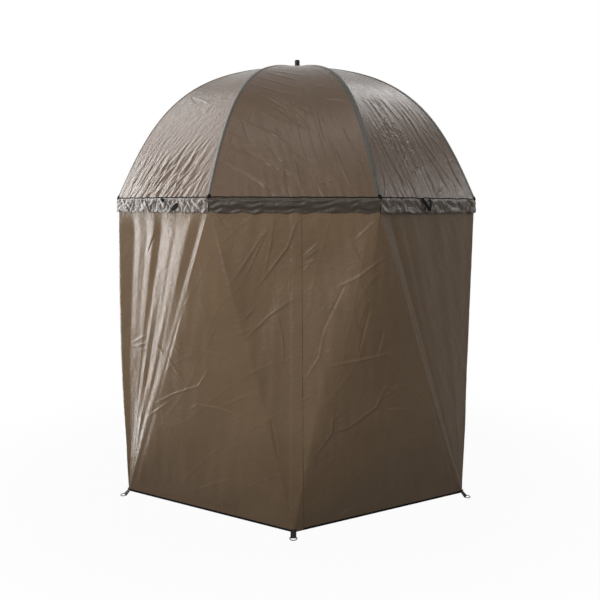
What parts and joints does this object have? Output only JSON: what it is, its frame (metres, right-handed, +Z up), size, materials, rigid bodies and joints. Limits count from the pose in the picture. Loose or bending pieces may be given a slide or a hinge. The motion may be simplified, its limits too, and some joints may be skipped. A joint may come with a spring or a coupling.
{
  "type": "fishing umbrella tent",
  "caption": "Umbrella tent: a domed canopy on hinged ribs and a central tilting pole, with full side walls pegged out at the hem and a zipped door at the rear.",
  "frame": {"origin": "on the ground at the foot of the centre pole, the bottom centre of the part's box", "axes": "+Z up along the pole; the front seam faces -Y, the zipped door faces +Y, +X to the right seen from the front"},
  "size_m": [1.7184, 1.9648, 2.1523],
  "materials": {
    "canopy_cloth": "coated polyester, satin taupe",
    "wall_cloth": "coated polyester, satin olive brown",
    "webbing": "woven black webbing",
    "rod": "smooth black glassfibre",
    "black_plastic": "moulded, lightly textured",
    "alloy": "drawn tube, satin",
    "steel": "zinc plated"
  },
  "bodies": {
    "frame": {"crown_hub": "black_plastic", "crown_wire": "steel", "top_pole": "alloy", "top_cap": "black_plastic", "knuckle_fork": "black_plastic", "wall_left": "wall_cloth", "wall_right": "wall_cloth", "corner_tab_1": "webbing", "corner_tab_2": "webbing", "corner_tab_3": "webbing", "corner_tab_4": "webbing", "corner_tab_5": "webbing", "corner_tab_6": "webbing"},
    "runner": {"runner": "black_plastic", "runner_wire": "steel"},
    "runner_button": {"runner_button": "black_plastic"},
    "rib_1": {"rib_1": "rod", "canopy_panel_1": "canopy_cloth"},
    "rib_2": {"rib_2": "rod", "canopy_panel_2": "canopy_cloth"},
    "rib_3": {"rib_3": "rod", "canopy_panel_3": "canopy_cloth"},
    "rib_4": {"rib_4": "rod", "canopy_panel_4": "canopy_cloth"},
    "rib_5": {"rib_5": "rod", "canopy_panel_5": "canopy_cloth"},
    "rib_6": {"rib_6": "rod", "canopy_panel_6": "canopy_cloth"},
    "rib_7": {"rib_7": "rod", "canopy_panel_7": "canopy_cloth"},
    "rib_8": {"rib_8": "rod", "canopy_panel_8": "canopy_cloth"},
    "stretcher_1": {"stretcher_1": "steel"},
    "stretcher_2": {"stretcher_2": "steel"},
    "stretcher_3": {"stretcher_3": "steel"},
    "stretcher_4": {"stretcher_4": "steel"},
    "stretcher_5": {"stretcher_5": "steel"},
    "stretcher_6": {"stretcher_6": "steel"},
    "stretcher_7": {"stretcher_7": "steel"},
    "stretcher_8": {"stretcher_8": "steel"},
    "tilt_joint": {"knuckle_tongue": "black_plastic", "inner_pole": "alloy"},
    "wing_bolt": {"wing_bolt": "black_plastic"},
    "lower_pole": {"lower_pole": "alloy", "clamp_collar": "black_plastic", "ground_spike": "steel"},
    "clamp_screw": {"clamp_screw": "black_plastic"},
    "door_right": {"door_right": "wall_cloth", "zip_tape_right": "black_plastic"},
    "door_left": {"door_left": "wall_cloth", "zip_tape_left": "black_plastic"},
    "zip_slider": {"zip_slider": "steel"},
    "d_ring_1": {"d_ring_1": "steel"},
    "d_ring_2": {"d_ring_2": "steel"},
    "d_ring_3": {"d_ring_3": "steel"},
    "d_ring_4": {"d_ring_4": "steel"},
    "d_ring_5": {"d_ring_5": "steel"},
    "d_ring_6": {"d_ring_6": "steel"}
  },
  "joints": [
    {"name": "canopy_fold", "type": "slide", "parent": "frame", "child": "runner", "axis": [0, 0, 1], "range_m": [-0.35957, 0], "deforming": ["canopy_panel_1", "canopy_panel_2", "canopy_panel_3", "canopy_panel_4", "canopy_panel_5", "canopy_panel_6", "canopy_panel_7", "canopy_panel_8", "wall_left", "wall_right", "door_left", "door_right", "zip_tape_left", "zip_tape_right"]},
    {"name": "rib_fold_1", "type": "hinge", "parent": "frame", "child": "rib_1", "pos_m": [0.01148, -0.02772, 2.1045], "axis": [-0.9239, -0.3827, 0], "range_deg": [-50.2, 0]},
    {"name": "rib_fold_2", "type": "hinge", "parent": "frame", "child": "rib_2", "pos_m": [0.02772, -0.01148, 2.1045], "axis": [-0.3827, -0.9239, 0], "range_deg": [-50.2, 0]},
    {"name": "rib_fold_3", "type": "hinge", "parent": "frame", "child": "rib_3", "pos_m": [0.02772, 0.01148, 2.1045], "axis": [0.3827, -0.9239, 0], "range_deg": [-50.2, 0]},
    {"name": "rib_fold_4", "type": "hinge", "parent": "frame", "child": "rib_4", "pos_m": [0.01148, 0.02772, 2.1045], "axis": [0.9239, -0.3827, 0], "range_deg": [-50.2, 0]},
    {"name": "rib_fold_5", "type": "hinge", "parent": "frame", "child": "rib_5", "pos_m": [-0.01148, 0.02772, 2.1045], "axis": [0.9239, 0.3827, 0], "range_deg": [-50.2, 0]},
    {"name": "rib_fold_6", "type": "hinge", "parent": "frame", "child": "rib_6", "pos_m": [-0.02772, 0.01148, 2.1045], "axis": [0.3827, 0.9239, 0], "range_deg": [-50.2, 0]},
    {"name": "rib_fold_7", "type": "hinge", "parent": "frame", "child": "rib_7", "pos_m": [-0.02772, -0.01148, 2.1045], "axis": [-0.3827, 0.9239, 0], "range_deg": [-50.2, 0]},
    {"name": "rib_fold_8", "type": "hinge", "parent": "frame", "child": "rib_8", "pos_m": [-0.01148, -0.02772, 2.1045], "axis": [-0.9239, 0.3827, 0], "range_deg": [-50.2, 0]},
    {"name": "stretcher_swing_1", "type": "hinge", "parent": "runner", "child": "stretcher_1", "pos_m": [0.01148, -0.02772, 1.7195], "axis": [0.9239, 0.3827, 0], "range_deg": [-26.8, 0]},
    {"name": "stretcher_swing_2", "type": "hinge", "parent": "runner", "child": "stretcher_2", "pos_m": [0.02772, -0.01148, 1.7195], "axis": [0.3827, 0.9239, 0], "range_deg": [-26.8, 0]},
    {"name": "stretcher_swing_3", "type": "hinge", "parent": "runner", "child": "stretcher_3", "pos_m": [0.02772, 0.01148, 1.7195], "axis": [-0.3827, 0.9239, 0], "range_deg": [-26.8, 0]},
    {"name": "stretcher_swing_4", "type": "hinge", "parent": "runner", "child": "stretcher_4", "pos_m": [0.01148, 0.02772, 1.7195], "axis": [-0.9239, 0.3827, 0], "range_deg": [-26.8, 0]},
    {"name": "stretcher_swing_5", "type": "hinge", "parent": "runner", "child": "stretcher_5", "pos_m": [-0.01148, 0.02772, 1.7195], "axis": [-0.9239, -0.3827, 0], "range_deg": [-26.8, 0]},
    {"name": "stretcher_swing_6", "type": "hinge", "parent": "runner", "child": "stretcher_6", "pos_m": [-0.02772, 0.01148, 1.7195], "axis": [-0.3827, -0.9239, 0], "range_deg": [-26.8, 0]},
    {"name": "stretcher_swing_7", "type": "hinge", "parent": "runner", "child": "stretcher_7", "pos_m": [-0.02772, -0.01148, 1.7195], "axis": [0.3827, -0.9239, 0], "range_deg": [-26.8, 0]},
    {"name": "stretcher_swing_8", "type": "hinge", "parent": "runner", "child": "stretcher_8", "pos_m": [-0.01148, -0.02772, 1.7195], "axis": [0.9239, -0.3827, 0], "range_deg": [-26.8, 0]},
    {"name": "button_press", "type": "slide", "parent": "runner", "child": "runner_button", "axis": [0, 1, 0], "range_m": [0, 0.003], "stiffness_N_per_m": 600, "springref_m": -0.002},
    {"name": "pole_tilt", "type": "hinge", "parent": "frame", "child": "tilt_joint", "pos_m": [0, 0, 0.8], "axis": [1, 0, 0], "range_deg": [-35, 35]},
    {"name": "wing_bolt_turn", "type": "hinge", "parent": "frame", "child": "wing_bolt", "pos_m": [0, 0, 0.8], "axis": [1, 0, 0], "range_deg": [0, 360]},
    {"name": "pole_height", "type": "slide", "parent": "tilt_joint", "child": "lower_pole", "axis": [0, 0, 1], "range_m": [0, 0.2]},
    {"name": "clamp_screw_turn", "type": "hinge", "parent": "lower_pole", "child": "clamp_screw", "pos_m": [0.024, 0, 0.477], "axis": [1, 0, 0], "range_deg": [0, 360]},
    {"name": "door_swing_right", "type": "hinge", "parent": "frame", "child": "door_right", "pos_m": [0.30431, 0.7691, 0.073], "axis": [-0.039, -0.0676, -0.9969], "range_deg": [0, 105]},
    {"name": "door_swing_left", "type": "hinge", "parent": "frame", "child": "door_left", "pos_m": [-0.30431, 0.7691, 0.073], "axis": [-0.039, 0.0676, 0.9969], "range_deg": [0, 105]},
    {"name": "zip_slide", "type": "slide", "parent": "door_right", "child": "zip_slider", "axis": [0, -0.061, 0.9981], "range_m": [0, 1.259]},
    {"name": "ring_swing_1", "type": "hinge", "parent": "frame", "child": "d_ring_1", "pos_m": [0, -0.958, 0.00345], "axis": [-1, 0, 0], "range_deg": [0, 115]},
    {"name": "ring_swing_2", "type": "hinge", "parent": "frame", "child": "d_ring_2", "pos_m": [0.82965, -0.479, 0.00345], "axis": [-0.5, -0.866, 0], "range_deg": [0, 115]},
    {"name": "ring_swing_3", "type": "hinge", "parent": "frame", "child": "d_ring_3", "pos_m": [0.82965, 0.479, 0.00345], "axis": [0.5, -0.866, 0], "range_deg": [0, 115]},
    {"name": "ring_swing_4", "type": "hinge", "parent": "frame", "child": "d_ring_4", "pos_m": [0, 0.958, 0.00345], "axis": [1, 0, 0], "range_deg": [0, 115]},
    {"name": "ring_swing_5", "type": "hinge", "parent": "frame", "child": "d_ring_5", "pos_m": [-0.82965, 0.479, 0.00345], "axis": [0.5, 0.866, 0], "range_deg": [0, 115]},
    {"name": "ring_swing_6", "type": "hinge", "parent": "frame", "child": "d_ring_6", "pos_m": [-0.82965, -0.479, 0.00345], "axis": [-0.5, 0.866, 0], "range_deg": [0, 115]}
  ],
  "couplings": [
    {"joint": "rib_fold_1", "follows": "canopy_fold", "rad_per_m": 2.427},
    {"joint": "rib_fold_2", "follows": "canopy_fold", "rad_per_m": 2.427},
    {"joint": "rib_fold_3", "follows": "canopy_fold", "rad_per_m": 2.427},
    {"joint": "rib_fold_4", "follows": "canopy_fold", "rad_per_m": 2.427},
    {"joint": "rib_fold_5", "follows": "canopy_fold", "rad_per_m": 2.427},
    {"joint": "rib_fold_6", "follows": "canopy_fold", "rad_per_m": 2.427},
    {"joint": "rib_fold_7", "follows": "canopy_fold", "rad_per_m": 2.427},
    {"joint": "rib_fold_8", "follows": "canopy_fold", "rad_per_m": 2.427},
    {"joint": "stretcher_swing_1", "follows": "canopy_fold", "rad_per_m": 1.2918},
    {"joint": "stretcher_swing_2", "follows": "canopy_fold", "rad_per_m": 1.2918},
    {"joint": "stretcher_swing_3", "follows": "canopy_fold", "rad_per_m": 1.2918},
    {"joint": "stretcher_swing_4", "follows": "canopy_fold", "rad_per_m": 1.2918},
    {"joint": "stretcher_swing_5", "follows": "canopy_fold", "rad_per_m": 1.2918},
    {"joint": "stretcher_swing_6", "follows": "canopy_fold", "rad_per_m": 1.2918},
    {"joint": "stretcher_swing_7", "follows": "canopy_fold", "rad_per_m": 1.2918},
    {"joint": "stretcher_swing_8", "follows": "canopy_fold", "rad_per_m": 1.2918}
  ]
}
